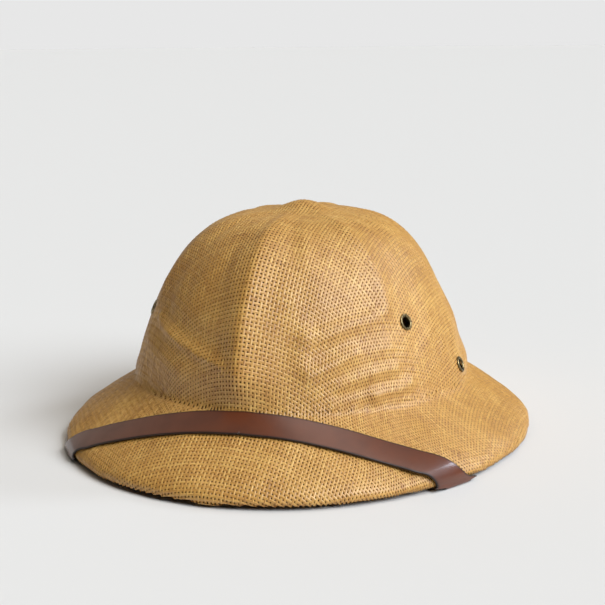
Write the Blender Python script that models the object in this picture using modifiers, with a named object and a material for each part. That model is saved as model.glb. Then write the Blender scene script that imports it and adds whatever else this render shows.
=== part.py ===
"""Pith helmet of moulded woven straw, with a leather chin strap over its brim and vent eyelets.

Lengths are in metres and angles in degrees. The hat stands on the ground, +Z is up and it faces -Y,
so its wearer's left is +X. An azimuth runs from the front towards the wearer's left. A height share
runs from 0 at the join of crown and brim to 1 at the top.
"""
import math

import bmesh
import bpy
import numpy as np
from mathutils import Matrix, Vector
from mathutils.bvhtree import BVHTree

# Crown
CROWN_HALF_WIDTH = 0.1027
CROWN_FRONT = 0.1183
CROWN_BACK = 0.1275
CROWN_OVAL = 1.95
CROWN_RISE = 0.1015
CROWN_TAPER = 0.118
CROWN_SHOULDER = 1.64
CROWN_FLATNESS = 3.85
KNOB_RISE = 0.0068
KNOB_REACH = 0.0125

# Join of crown and brim, above or below its level at the sides
JOIN_FRONT_RISE = 0.0047
JOIN_BACK_DROP = 0.0020

# Brim
BRIM_HALF_WIDTH = 0.1444
BRIM_FRONT = 0.1649
BRIM_BACK = 0.1580
BRIM_OVAL = 2.00
BRIM_DROP = 0.0337
BRIM_START_SLOPE = 44.0
BRIM_START_HANDLE = 0.220
BRIM_END_SLOPE = 86.0
BRIM_END_HANDLE = 0.130
LIP = 0.0030

# Walls and fits
WALL = 0.0022
GAP = 0.0003

# Chin strap
STRAP_WIDTH = 0.0160
STRAP_THICKNESS = 0.0016
STRAP_STAND_OFF = 0.00045
STRAP_TURN = 2.4
STRAP_BEND = 0.0070
STRAP_WALL_SHARE = 0.34
STRAP_STEP = 0.0070
STRAP_FINE_STEP = 0.0002
STRAP_ACROSS = 3

# Vent eyelets
EYELET_OUTER = 0.0100
EYELET_HOLE = 0.0063
EYELET_BARREL = 0.0075
EYELET_FLANGE = 0.0008
EYELET_SIDES = 14

# The rim stands on the strap at the front and on its own edge at the back
RIM_HEIGHT = STRAP_STAND_OFF + STRAP_THICKNESS
RIM_DIP_START = 100.0
RIM_DIP_END = 152.0
JOIN_HEIGHT = RIM_HEIGHT + BRIM_DROP
MIDDLE_Y = (BRIM_FRONT - BRIM_BACK) / 2

# Mesh steps
CROWN_ROWS = 16
BRIM_ROWS = 8
RIDGE_STEPS = (0.0035, 0.0080, 0.0140)

# Ridges between the crown's six panels, from the join up. They narrow towards the knob from this
# share of the crown's width inwards
RIDGE_FULL_FROM = 0.75
RIDGE_COLUMNS = ("azimuth", "rise", "reach", "fade_start", "fade_end", "panel_steps")
RIDGES = (
    (0, 0.0050, 0.026, 0.02, 0.20, 7),
    (50, 0.0024, 0.018, 0.40, 0.62, 12),
    (130, 0.0024, 0.018, 0.40, 0.62, 7),
    (180, 0.0040, 0.026, 0.02, 0.20, 7),
    (230, 0.0024, 0.018, 0.40, 0.62, 12),
    (310, 0.0024, 0.018, 0.40, 0.62, 7),
)

# Creases, dents and rolls pressed in the crown, each along a line between two places
FOLD_COLUMNS = ("azimuth_1", "share_1", "azimuth_2", "share_2", "reach", "rise")
FOLDS = (
    (-44, 0.490, -4, 0.300, 0.009, 0.0012),
    (12, 0.340, 46, 0.520, 0.009, -0.0008),
    (26, 0.080, 58, 0.135, 0.009, 0.0012),
    (28, 0.160, 41, 0.215, 0.009, 0.0008),
    (-38, 0.055, -8, 0.045, 0.011, -0.0016),
    (80, 0.055, 122, 0.055, 0.011, 0.0026),
    (94, 0.270, 108, 0.330, 0.012, 0.0014),
    (-86, 0.060, -66, 0.055, 0.010, 0.0014),
)

# Course of the strap's middle line over the brim, the same both ways from its own middle
COURSE_COLUMNS = ("azimuth", "brim_share")
COURSE = ((0, 0.165), (10, 0.195), (20, 0.280), (30, 0.415), (40, 0.612), (45, 0.765), (49.5, 1.0))
# Its hidden course from the rim on, under the brim and up the inside of the crown
HIDDEN_COLUMNS = ("azimuth", "run")
HIDDEN = ((49.5, 0.0), (56.0, 0.018), (63.0, 0.040), (69.0, 0.063), (72.0, 0.080))

# Runs from the rim between which the strap's rows lie closer together, at its bends
BEND_COLUMNS = ("start", "end", "step")
BENDS = ((-0.0180, -0.0005, 0.0024), (-0.0005, 0.0022, 0.0010), (0.0036, 0.0060, 0.0010))

# Vent eyelets on each side
EYELET_COLUMNS = ("name", "azimuth", "share")
EYELETS = (
    ("eyelet_left_front", 58.9, 0.433),
    ("eyelet_left_rear", 88.0, 0.095),
    ("eyelet_right_front", -58.9, 0.433),
    ("eyelet_right_rear", -88.0, 0.095),
)

# Colour, roughness and metallic of each material
FINISHES = {
    "woven_straw": ((0.52, 0.33, 0.14, 1.0), 0.75, 0.0),
    "brown_leather": ((0.20, 0.075, 0.035, 1.0), 0.38, 0.0),
    "aged_brass": ((0.30, 0.22, 0.10, 1.0), 0.35, 1.0),
}


def rows_of(columns, table):
    """Each row of a table as a dictionary of its named columns."""
    return [dict(zip(columns, row)) for row in table]


def smooth_step(value, start, end):
    """0 before start and 1 past end, with a smooth run between them."""
    share = np.clip((np.asarray(value, float) - start) / (end - start), 0, 1)
    return share * share * (3 - 2 * share)


def turned(azimuth, middle):
    """An azimuth less another one, from -180 to 180."""
    return (np.asarray(azimuth, float) - middle + 180) % 360 - 180


def oval(azimuth, half_width, front, back, power):
    """Radius of an egg-shaped oval at an azimuth."""
    angle = np.radians(azimuth)
    half_length = np.where(np.cos(angle) > 0, front, back)
    sideways = np.abs(np.sin(angle) / half_width) ** power
    lengthways = np.abs(np.cos(angle) / half_length) ** power
    return (sideways + lengthways) ** (-1 / power)


def crown_oval(azimuth):
    """Radius of the crown at the join."""
    return oval(azimuth, CROWN_HALF_WIDTH, CROWN_FRONT, CROWN_BACK, CROWN_OVAL)


def join_level(azimuth):
    """Height of the join of crown and brim."""
    forward = np.cos(np.radians(azimuth))
    change = np.where(forward > 0, JOIN_FRONT_RISE, -JOIN_BACK_DROP)
    return JOIN_HEIGHT + change * forward**2


def rim_level(azimuth):
    """Height of the brim's lower edge, which dips to the ground at the back."""
    away = np.abs(turned(azimuth, 0))
    return RIM_HEIGHT * (1 - smooth_step(away, RIM_DIP_START, RIM_DIP_END))


def placed(azimuth, radius, height):
    """Places as an array of x, y and z."""
    angle = np.radians(azimuth)
    return np.stack([radius * np.sin(angle), MIDDLE_Y - radius * np.cos(angle), height], -1)


def plain_crown(azimuth, share):
    """Smooth crown surface without ridges and folds."""
    azimuth, share = np.broadcast_arrays(np.asarray(azimuth, float), np.asarray(share, float))
    above = np.clip(share, 0, 1)
    narrowing = (1 - CROWN_TAPER * share) * (1 - above**CROWN_SHOULDER) ** (1 / CROWN_FLATNESS)
    height = join_level(azimuth) * (1 - share) + (JOIN_HEIGHT + CROWN_RISE) * share
    return placed(azimuth, crown_oval(azimuth) * narrowing, height)


def crown_relief(azimuth, share):
    """How far the ridges, folds and knob stand out of the smooth crown."""
    place = plain_crown(azimuth, share)
    radius = np.hypot(place[..., 0], place[..., 1] - MIDDLE_Y)
    base = crown_oval(azimuth)
    relief = np.zeros_like(radius)
    for ridge in rows_of(RIDGE_COLUMNS, RIDGES):
        narrowing = np.clip(radius / base / RIDGE_FULL_FROM, 1e-6, 1)
        away = np.abs(np.radians(turned(azimuth, ridge["azimuth"]))) * radius
        crest = ridge["rise"] * narrowing * np.clip(1 - away / ridge["reach"] / narrowing, 0, 1) ** 2
        crest = crest * smooth_step(share, ridge["fade_start"], ridge["fade_end"])
        relief = np.maximum(relief, crest)
    for fold in rows_of(FOLD_COLUMNS, FOLDS):
        along = np.radians(turned(fold["azimuth_2"], fold["azimuth_1"])) * base
        up = (fold["share_2"] - fold["share_1"]) * CROWN_RISE
        x = np.radians(turned(azimuth, fold["azimuth_1"])) * base
        y = (share - fold["share_1"]) * CROWN_RISE
        part = np.clip((x * along + y * up) / (along**2 + up**2), 0, 1)
        off = np.hypot(x - part * along, y - part * up) / fold["reach"]
        relief = relief + fold["rise"] * np.exp(-(off**2)) * smooth_step(share, 0, 0.04)
    return relief + KNOB_RISE * np.exp(-((radius / KNOB_REACH) ** 2))


def crown(azimuth, share):
    """Outer crown surface."""
    share = np.asarray(share, float)
    small = 1e-4
    low, high = np.maximum(share - small, 0), np.minimum(share + small, 0.99999)
    across = plain_crown(np.add(azimuth, 0.01), share) - plain_crown(np.add(azimuth, -0.01), share)
    upward = plain_crown(azimuth, np.maximum(high, low + small)) - plain_crown(azimuth, low)
    outward = np.cross(across, upward)
    length = np.linalg.norm(outward, axis=-1, keepdims=True)
    straight_up = np.array([0.0, 0.0, 1.0])
    outward = np.where(length > 1e-16, outward / np.maximum(length, 1e-16), straight_up)
    outward = np.where(np.asarray(share)[..., None] > 0.99998, straight_up, outward)
    return plain_crown(azimuth, share) + outward * crown_relief(azimuth, share)[..., None]


def brim_profile(azimuth, share):
    """Radius and height of the brim's upper surface, from the join at 0 to the lip at 1."""
    start_radius = crown_oval(azimuth)
    end_radius = oval(azimuth, BRIM_HALF_WIDTH, BRIM_FRONT, BRIM_BACK, BRIM_OVAL)
    start_height, end_height = join_level(azimuth), rim_level(azimuth) + LIP
    reach = np.hypot(end_radius - start_radius, start_height - end_height)
    start, end = math.radians(BRIM_START_SLOPE), math.radians(BRIM_END_SLOPE)
    points = (
        (start_radius, start_height),
        (
            start_radius + BRIM_START_HANDLE * reach * math.cos(start),
            start_height - BRIM_START_HANDLE * reach * math.sin(start),
        ),
        (
            end_radius - BRIM_END_HANDLE * reach * math.cos(end),
            end_height + BRIM_END_HANDLE * reach * math.sin(end),
        ),
        (end_radius, end_height),
    )
    rest = 1 - share
    weights = (rest**3, 3 * share * rest**2, 3 * share**2 * rest, share**3)
    radius = sum(weight * point[0] for weight, point in zip(weights, points))
    height = sum(weight * point[1] for weight, point in zip(weights, points))
    return radius, height


def even_shares(surface, count):
    """Shares from 0 to 1 whose places lie evenly along a surface's line at the side."""
    fine = 1 - (1 - np.linspace(0, 1, 4001)) ** 3
    places = surface(np.full_like(fine, 90.0), fine)
    run = np.concatenate([[0], np.cumsum(np.linalg.norm(np.diff(places, axis=0), axis=1))])
    return np.interp(np.linspace(0, run[-1], count + 1), run, fine)


def column_azimuths():
    """Azimuths of the mesh columns, close together beside each ridge."""
    ridges = rows_of(RIDGE_COLUMNS, RIDGES)
    azimuths = []
    for ridge, following in zip(ridges, ridges[1:] + ridges[:1]):
        span = (following["azimuth"] - ridge["azimuth"]) % 360
        near = [math.degrees(step / CROWN_HALF_WIDTH) for step in RIDGE_STEPS]
        middle = np.linspace(near[-1], span - near[-1], ridge["panel_steps"] + 1)
        steps = [0.0, *near[:-1], *middle, *(span - step for step in near[-2::-1])]
        azimuths += [ridge["azimuth"] + step for step in steps]
    return np.array(azimuths)


def add_object(name, mesh, finish, collection):
    """Adds a mesh as a named object with its own material."""
    colour, roughness, metallic = FINISHES[finish]
    material = bpy.data.materials.new(f"{name}_{finish}")
    material.use_nodes = True
    shader = material.node_tree.nodes["Principled BSDF"]
    shader.inputs["Base Color"].default_value = colour
    shader.inputs["Roughness"].default_value = roughness
    shader.inputs["Metallic"].default_value = metallic
    material.diffuse_color = colour
    mesh.materials.append(material)
    item = bpy.data.objects.new(name, mesh)
    collection.objects.link(item)
    return item


def grid_mesh(rows, closed):
    """A sheet of four-sided faces through rows of points, closed round or open."""
    build = bmesh.new()
    lines = [[build.verts.new(point) for point in row] for row in rows]
    for line, following in zip(lines, lines[1:]):
        count = len(line)
        for place in range(count if closed else count - 1):
            beside = (place + 1) % count
            build.faces.new((line[place], line[beside], following[beside], following[place]))
    return build, lines


def finish_mesh(build, name, smooth):
    """Turns a bmesh into a mesh with its faces shaded."""
    for face in build.faces:
        face.smooth = smooth
    mesh = bpy.data.meshes.new(name)
    build.to_mesh(mesh)
    build.free()
    return mesh


def add_solidify(item, thickness, offset):
    """Gives a sheet its wall."""
    wall = item.modifiers.new("wall", "SOLIDIFY")
    wall.thickness = thickness
    wall.offset = offset
    wall.use_even_offset = True
    wall.use_quality_normals = True


def shell_rows():
    """Rows of points of the shell's outer surface, from the lower edge of the rim up."""
    azimuths = column_azimuths()
    end_radius, end_height = brim_profile(azimuths, 1.0)
    rows = [placed(azimuths, end_radius, end_height - LIP)]
    for share in even_shares(lambda a, s: placed(a, *brim_profile(a, s)), BRIM_ROWS)[::-1]:
        rows.append(placed(azimuths, *brim_profile(azimuths, np.full_like(azimuths, share))))
    for share in even_shares(plain_crown, CROWN_ROWS)[1:-1]:
        rows.append(crown(azimuths, np.full_like(azimuths, share)))
    return rows


def build_shell(collection):
    """The crown and brim, one moulded sheet of straw."""
    build, lines = grid_mesh(shell_rows(), True)
    top = build.verts.new((0, MIDDLE_Y, JOIN_HEIGHT + CROWN_RISE + KNOB_RISE))
    count = len(lines[-1])
    for place in range(count):
        build.faces.new((lines[-1][place], lines[-1][(place + 1) % count], top))
    build.normal_update()
    shell = add_object("straw_shell", finish_mesh(build, "straw_shell", True), "woven_straw", collection)
    add_solidify(shell, WALL, -1)
    return shell


def eyelet_frame(azimuth, share):
    """Place on the crown's surface and a matrix whose Z points out of it."""
    step = 0.02
    place = Vector(crown(azimuth, share))
    across = Vector(crown(azimuth + step, share) - crown(azimuth - step, share)).normalized()
    upward = Vector(crown(azimuth, share + 0.01) - crown(azimuth, share - 0.01))
    outward = across.cross(upward).normalized()
    upward = outward.cross(across)
    turn = Matrix((across, upward, outward)).transposed().to_4x4()
    return place, Matrix.Translation(place) @ turn


def wall_heights(tree, frame):
    """Highest and lowest place of the shell's wall under an eyelet's flange, along its axis."""
    heights = []
    back = frame.inverted()
    for step in range(EYELET_SIDES):
        angle = 2 * math.pi * step / EYELET_SIDES
        for radius in (EYELET_BARREL / 2, EYELET_OUTER / 2):
            spot = Vector((radius * math.cos(angle), radius * math.sin(angle), 0))
            for side in (0.01, -0.01):
                start = frame @ (spot + Vector((0, 0, side)))
                aim = frame @ spot - start
                hit = tree.ray_cast(start, aim, 0.02)[0]
                if hit is not None:
                    heights.append((back @ hit).z)
    return max(heights), min(heights)


def build_eyelet(row, frame, tree, collection):
    """A rolled ring eyelet: a barrel through the wall and a flange on each face of it."""
    high, low = wall_heights(tree, frame)
    top, bottom = high + GAP, low - GAP
    hole, barrel, outer = EYELET_HOLE / 2, EYELET_BARREL / 2, EYELET_OUTER / 2
    soft = EYELET_FLANGE / 3
    profile = (
        (hole, top + EYELET_FLANGE - soft),
        (hole + soft, top + EYELET_FLANGE),
        (outer - 2 * soft, top + EYELET_FLANGE),
        (outer, top),
        (barrel, top),
        (barrel, bottom),
        (outer, bottom),
        (outer, bottom - EYELET_FLANGE),
        (hole, bottom - EYELET_FLANGE),
    )
    build = bmesh.new()
    points = [build.verts.new((radius, 0, height)) for radius, height in profile]
    for point, following in zip(points, points[1:] + points[:1]):
        build.edges.new((point, following))
    ring = add_object(row["name"], finish_mesh(build, row["name"], False), "aged_brass", collection)
    turn = ring.modifiers.new("turn", "SCREW")
    turn.axis = "Z"
    turn.steps = EYELET_SIDES
    turn.render_steps = EYELET_SIDES
    turn.use_merge_vertices = True
    turn.merge_threshold = 0.00001
    turn.use_smooth_shade = True
    turn.use_normal_calculate = True
    turn.use_normal_flip = True
    ring.matrix_world = frame
    return ring


def cut_hole(shell, row, frame, cutters):
    """Cuts a vent hole that the eyelet's barrel passes with a gap."""
    build = bmesh.new()
    bmesh.ops.create_cone(
        build,
        cap_ends=True,
        segments=EYELET_SIDES,
        radius1=EYELET_BARREL / 2 + GAP,
        radius2=EYELET_BARREL / 2 + GAP,
        depth=8 * WALL,
    )
    name = row["name"].replace("eyelet", "vent_cutter")
    cutter = bpy.data.objects.new(name, finish_mesh(build, name, False))
    cutters.objects.link(cutter)
    cutter.matrix_world = frame
    cutter.hide_render = True
    cutter.display_type = "WIRE"
    hole = shell.modifiers.new(name, "BOOLEAN")
    hole.operation = "DIFFERENCE"
    hole.solver = "EXACT"
    hole.object = cutter


def rounded_path(corners, radii):
    """Points along a line of corners in a plane, each inner corner rounded."""
    points = [corners[0]]
    for before, corner, after, radius in zip(corners, corners[1:], corners[2:], radii):
        back, onward = before - corner, after - corner
        back, onward = back / np.linalg.norm(back), onward / np.linalg.norm(onward)
        half = math.acos(float(np.clip(back @ onward, -1, 1))) / 2
        toward = (back + onward) / np.linalg.norm(back + onward)
        centre = corner + toward * radius / math.sin(half)
        first = corner + back * radius / math.tan(half) - centre
        last = corner + onward * radius / math.tan(half) - centre
        sweep = math.pi - 2 * half
        for part in np.linspace(0, 1, 9):
            swing = math.sin((1 - part) * sweep) * first + math.sin(part * sweep) * last
            points.append(centre + swing / math.sin(sweep))
    points.append(corners[-1])
    return np.array(points)


def strap_guide(azimuth):
    """The strap's path at one azimuth as radius and height, and the run along it from the rim."""
    lift = STRAP_STAND_OFF + STRAP_THICKNESS / 2
    radius, height = brim_profile(azimuth, np.linspace(0, 1, 60))
    slope_out, slope_down = np.gradient(radius), np.gradient(height)
    length = np.hypot(slope_out, slope_down)
    over = np.stack([radius - slope_down / length * lift, height + slope_out / length * lift], -1)
    edge = float(oval(azimuth, BRIM_HALF_WIDTH, BRIM_FRONT, BRIM_BACK, BRIM_OVAL))
    rim = float(rim_level(azimuth))
    inner_wall = plain_crown(azimuth, np.array([0.0, STRAP_WALL_SHARE]))
    inner_radius = np.hypot(inner_wall[:, 0], inner_wall[:, 1] - MIDDLE_Y) - WALL - 2 * lift
    corners = (
        over[-1],
        np.array([edge + lift, rim - lift]),
        np.array([edge - WALL - lift, rim - lift]),
        np.array([inner_radius[0], inner_wall[0, 2] - 2 * WALL]),
        np.array([inner_radius[1], inner_wall[1, 2]]),
    )
    under = rounded_path(corners, (0.98 * lift, 0.98 * lift, STRAP_BEND))
    path = np.concatenate([over[:-1], under])
    run = np.concatenate([[0], np.cumsum(np.linalg.norm(np.diff(path, axis=0), axis=1))])
    top = run[len(over)]
    return path, run - top, top


def strap_place(azimuth, run):
    """Place on the strap's middle surface for an azimuth and a run from the rim."""
    path, along, _ = strap_guide(azimuth)
    return placed(azimuth, np.interp(run, along, path[:, 0]), np.interp(run, along, path[:, 1]))


def smooth_line(x, y, places):
    """Values at places of a smooth line through points, by cubic pieces."""
    x, y = np.array(x, float), np.array(y, float)
    slope = np.gradient(y, x)
    part = np.clip(np.searchsorted(x, places, side="right") - 1, 0, len(x) - 2)
    width = x[part + 1] - x[part]
    share = (places - x[part]) / width
    rest = 1 - share
    return (
        y[part] * (1 + 2 * share) * rest**2
        + slope[part] * width * share * rest**2
        + y[part + 1] * share**2 * (3 - 2 * share)
        - slope[part + 1] * width * share**2 * rest
    )


def strap_half(side):
    """Azimuths and runs of the strap's middle line, from its middle to its end on one side."""
    azimuths, shares = zip(*COURSE)
    line = []
    for azimuth in np.linspace(0, azimuths[-1], 120):
        share = min(float(smooth_line(azimuths, shares, azimuth)), 1.0)
        actual = STRAP_TURN + side * azimuth
        radius, height = brim_profile(actual, np.linspace(share, 1, 40))
        over = float(np.sum(np.hypot(np.diff(radius), np.diff(height))))
        line.append((actual, -over * strap_guide(actual)[2] / brim_length(actual)))
    azimuths, runs = zip(*HIDDEN)
    for run in np.linspace(0, runs[-1], 100)[1:]:
        line.append((STRAP_TURN + side * float(smooth_line(runs, azimuths, run)), run))
    return line


def brim_length(azimuth):
    """Length of the brim's upper surface at an azimuth, without the lip."""
    radius, height = brim_profile(azimuth, np.linspace(0, 1, 60))
    return float(np.sum(np.hypot(np.diff(radius), np.diff(height))))


def strap_stations(runs):
    """Numbers of the fine middle line's points where the strap has a row."""
    chosen, spent = [0], 0.0
    for place, run in enumerate(runs):
        step = STRAP_STEP
        for bend in rows_of(BEND_COLUMNS, BENDS):
            if bend["start"] < run < bend["end"]:
                step = bend["step"]
        if spent >= step:
            chosen.append(place)
            spent = 0.0
        spent += STRAP_FINE_STEP
    return chosen[:-1] + [len(runs) - 1]


def build_strap(collection):
    """The chin strap: a flat leather band laid over the brim and round its edge on both sides."""
    coarse = np.array(strap_half(-1)[::-1][:-1] + strap_half(1))
    middle = np.array([strap_place(azimuth, run) for azimuth, run in coarse])
    length = np.concatenate([[0], np.cumsum(np.linalg.norm(np.diff(middle, axis=0), axis=1))])
    print("strap length", round(float(length[-1]), 4))
    fine = np.arange(0, length[-1], STRAP_FINE_STEP)
    line = np.stack([np.interp(fine, length, coarse[:, column]) for column in (0, 1)], -1)
    radii = np.interp(fine, length, np.hypot(middle[:, 0], middle[:, 1] - MIDDLE_Y))
    ahead, onward = np.radians(np.gradient(line[:, 0])) * radii, np.gradient(line[:, 1])
    size = np.hypot(ahead, onward)
    rows = []
    for place in strap_stations(line[:, 1]):
        azimuth, run = line[place]
        square = np.array([-onward[place], ahead[place]]) / size[place]
        skew = float(smooth_step(run, -0.030, -0.007))
        across = square * (1 - skew) + np.array([math.copysign(1, square[0]), 0]) * skew
        across = across / (across @ square) * STRAP_WIDTH
        row = []
        for part in np.linspace(-0.5, 0.5, STRAP_ACROSS + 1):
            turn = math.degrees(part * across[0] / radii[place])
            row.append(strap_place(azimuth + turn, run + part * across[1]))
        rows.append(row)
    build, _ = grid_mesh(rows, False)
    build.normal_update()
    strap = add_object("chin_strap", finish_mesh(build, "chin_strap", True), "brown_leather", collection)
    add_solidify(strap, STRAP_THICKNESS, 0)
    return strap


def main():
    """Clears the scene and builds each piece."""
    for item in list(bpy.data.objects):
        bpy.data.objects.remove(item, do_unlink=True)
    collection = bpy.data.collections.new("pith_helmet")
    cutters = bpy.data.collections.new("cutters")
    for folder in (collection, cutters):
        bpy.context.scene.collection.children.link(folder)
    shell = build_shell(collection)
    bpy.context.view_layer.update()
    tree = BVHTree.FromObject(shell, bpy.context.evaluated_depsgraph_get())
    for row in rows_of(EYELET_COLUMNS, EYELETS):
        frame = eyelet_frame(row["azimuth"], row["share"])[1]
        build_eyelet(row, frame, tree, collection)
        cut_hole(shell, row, frame, cutters)
    build_strap(collection)


main()
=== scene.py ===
"""Visual model of a pith helmet of moulded woven straw with a leather chin strap and vent eyelets.

Lengths are in metres and angles in degrees. The hat stands on the ground, +Z is up and it faces
-Y, so its wearer's left is +X. An azimuth runs from the front towards the wearer's left. A height
share runs from 0 at the join of crown and brim to 1 at the top, and below 0 down the brim. A run
is a length along the surface, on the hat from its top and on the strap from the rim.

The strands lie on a flattened surface, where a place is its run turned by its azimuth. Their net
is laid crossing by crossing from the top, each at the spacing of the weave from its neighbours.
"""
import sys
import logging
import math
from dataclasses import dataclass, field
from enum import Enum
from typing import Any, Sequence

import bmesh
import bpy
import numpy as np
from mathutils import Matrix, Vector


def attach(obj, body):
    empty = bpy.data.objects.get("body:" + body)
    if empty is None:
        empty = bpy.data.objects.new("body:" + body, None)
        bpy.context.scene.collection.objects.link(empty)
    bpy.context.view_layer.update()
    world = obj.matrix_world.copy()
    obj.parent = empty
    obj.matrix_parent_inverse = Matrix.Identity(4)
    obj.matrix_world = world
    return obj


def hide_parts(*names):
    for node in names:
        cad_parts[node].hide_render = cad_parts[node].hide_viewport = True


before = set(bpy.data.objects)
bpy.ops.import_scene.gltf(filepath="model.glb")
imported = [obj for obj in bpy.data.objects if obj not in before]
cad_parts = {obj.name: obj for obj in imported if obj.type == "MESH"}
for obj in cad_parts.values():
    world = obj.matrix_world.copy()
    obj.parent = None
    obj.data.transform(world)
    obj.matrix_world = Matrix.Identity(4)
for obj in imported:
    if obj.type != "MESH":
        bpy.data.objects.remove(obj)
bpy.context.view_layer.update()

Array = np.ndarray
LOG = logging.getLogger("pith_helmet")
MM = 0.001


# Helpers


def linear_colour(code: str) -> tuple[float, float, float, float]:
    """Turns an sRGB hex colour into the linear colour that shaders take.

    Args:
        code: Six hex digits.

    Returns:
        Linear red, green, blue and an alpha of 1.
    """
    values = [int(code[place : place + 2], 16) / 255 for place in (0, 2, 4)]
    linear = [v / 12.92 if v <= 0.04045 else ((v + 0.055) / 1.055) ** 2.4 for v in values]
    return (*linear, 1.0)


def add_node(
    tree: bpy.types.NodeTree,
    kind: str,
    settings: dict[str, Any] | None = None,
    inputs: dict[Any, Any] | None = None,
) -> bpy.types.Node:
    """Adds a node with its settings and inputs.

    Args:
        tree: Node tree that takes the node.
        kind: Blender's name of the node's class.
        settings: Values of the node's own properties.
        inputs: A value, or another node's output to link, for each input by name or number.

    Returns:
        The new node.
    """
    node = tree.nodes.new(kind)
    for name, value in (settings or {}).items():
        setattr(node, name, value)
    set_inputs(node, inputs or {})
    return node


def set_inputs(node: bpy.types.Node, inputs: dict[Any, Any]) -> None:
    """Gives inputs, by name or number, their values or the outputs that they follow."""
    for key, value in inputs.items():
        if isinstance(value, bpy.types.NodeSocket):
            node.id_data.links.new(value, node.inputs[key])
        else:
            node.inputs[key].default_value = value


def smooth_step(value: Any, start: float, end: float) -> Array:
    """0 before start and 1 past end, with a smooth run between them."""
    share = np.clip((np.asarray(value, float) - start) / (end - start), 0, 1)
    return share * share * (3 - 2 * share)


def turned(azimuth: Any, middle: Any) -> Array:
    """An azimuth less another one, from -180 to 180."""
    return (np.asarray(azimuth, float) - middle + 180) % 360 - 180


def unit(vectors: Array) -> Array:
    """Vectors brought to a length of 1."""
    return vectors / np.maximum(np.linalg.norm(vectors, axis=-1, keepdims=True), 1e-12)


def run_along(points: Array, axis: int = 0) -> Array:
    """Length along each line of points, from its start."""
    steps = np.linalg.norm(np.diff(points, axis=axis), axis=-1)
    return np.insert(np.cumsum(steps, axis=axis), 0, 0, axis=axis)


def direction(azimuth: float, elevation: float) -> Vector:
    """Direction from the hat towards a place seen at an azimuth and an elevation."""
    a, e = math.radians(azimuth), math.radians(elevation)
    return Vector((math.sin(a) * math.cos(e), -math.cos(a) * math.cos(e), math.sin(e)))


def smooth_line(x: Sequence[float], y: Sequence[float], places: Any) -> Array:
    """Values at places of a smooth line through points, by cubic pieces."""
    x, y = np.array(x, float), np.array(y, float)
    slope = np.gradient(y, x)
    part = np.clip(np.searchsorted(x, places, side="right") - 1, 0, len(x) - 2)
    width = x[part + 1] - x[part]
    share = (places - x[part]) / width
    rest = 1 - share
    return (
        y[part] * (1 + 2 * share) * rest**2
        + slope[part] * width * share * rest**2
        + y[part + 1] * share**2 * (3 - 2 * share)
        - slope[part + 1] * width * share**2 * rest
    )


def new_object(name: str, data: bpy.types.ID) -> bpy.types.Object:
    """Adds an object to the scene."""
    item = bpy.data.objects.new(name, data)
    bpy.context.scene.collection.objects.link(item)
    return item


def mesh_piece(
    name: str,
    points: Array,
    faces: list,
    material: bpy.types.Material,
    values: dict[str, Array] | None = None,
) -> bpy.types.Object:
    """Makes a smooth-shaded piece.

    Args:
        name: Name of the piece.
        points: Its points, one to a row.
        faces: Lists of point numbers.
        material: What it is dressed in.
        values: Numbers kept at the points for the material to read, by name.

    Returns:
        The new object, already riding on the hat.
    """
    mesh = bpy.data.meshes.new(name)
    mesh.from_pydata(points.reshape(-1, 3).tolist(), [], faces)
    mesh.polygons.foreach_set("use_smooth", np.ones(len(mesh.polygons), bool))
    for key, numbers in (values or {}).items():
        store = mesh.attributes.new(key, "FLOAT", "POINT")
        store.data.foreach_set("value", np.asarray(numbers, np.float32).ravel())
    mesh.materials.append(material)
    mesh.update()
    item = new_object(name, mesh)
    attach(item, "root")
    LOG.info("%s: %d faces", name, len(faces))
    return item


def grid_faces(rows: int, columns: int, closed: bool, first: int = 0) -> list:
    """Faces of a sheet of points laid out row by row.

    Args:
        rows: Number of rows.
        columns: Points in a row.
        closed: Whether each row runs round to its start.
        first: Number of the sheet's first point.

    Returns:
        Four-cornered faces.
    """
    row, column = np.meshgrid(
        np.arange(rows - 1), np.arange(columns if closed else columns - 1), indexing="ij"
    )
    beside = (column + 1) % columns
    corners = (
        row * columns + column,
        row * columns + beside,
        (row + 1) * columns + beside,
        (row + 1) * columns + column,
    )
    return (np.stack(corners, -1).reshape(-1, 4) + first).tolist()


# Finishes


class Family(Enum):
    """The two sets of strands of a plain weave."""

    WARP = "warp"
    WEFT = "weft"


def new_material(name: str) -> tuple[bpy.types.Material, bpy.types.NodeTree, bpy.types.Node]:
    """Starts a node material.

    Args:
        name: Name of the material.

    Returns:
        The material, its node tree and its shader.
    """
    material = bpy.data.materials.new(name)
    material.use_nodes = True
    tree = material.node_tree
    return material, tree, tree.nodes["Principled BSDF"]


def clouded(
    tree: bpy.types.NodeTree,
    size: float,
    detail: float,
    colours: tuple[str, str],
    span: tuple[float, float] = (0.35, 0.65),
) -> tuple[bpy.types.NodeSocket, bpy.types.NodeSocket]:
    """Adds a cloudy mix of two colours.

    Args:
        tree: Node tree that takes it.
        size: Size of the clouds.
        detail: How many finer waves they carry.
        colours: The two colours.
        span: Heights of the clouds at which each colour is pure.

    Returns:
        The height of the clouds, and the mixed colour.
    """
    where = add_node(tree, "ShaderNodeTexCoord").outputs["Object"]
    clouds = add_node(
        tree, "ShaderNodeTexNoise", inputs={"Vector": where, "Scale": 1 / size, "Detail": detail}
    ).outputs[0]
    share = add_node(
        tree, "ShaderNodeMapRange", inputs={"Value": clouds, "From Min": span[0], "From Max": span[1]}
    )
    first, second = (linear_colour(code) for code in colours)
    colour = add_node(
        tree, "ShaderNodeMix", {"data_type": "RGBA"}, {0: share.outputs[0], 6: first, 7: second}
    )
    return clouds, colour.outputs[2]


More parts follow.
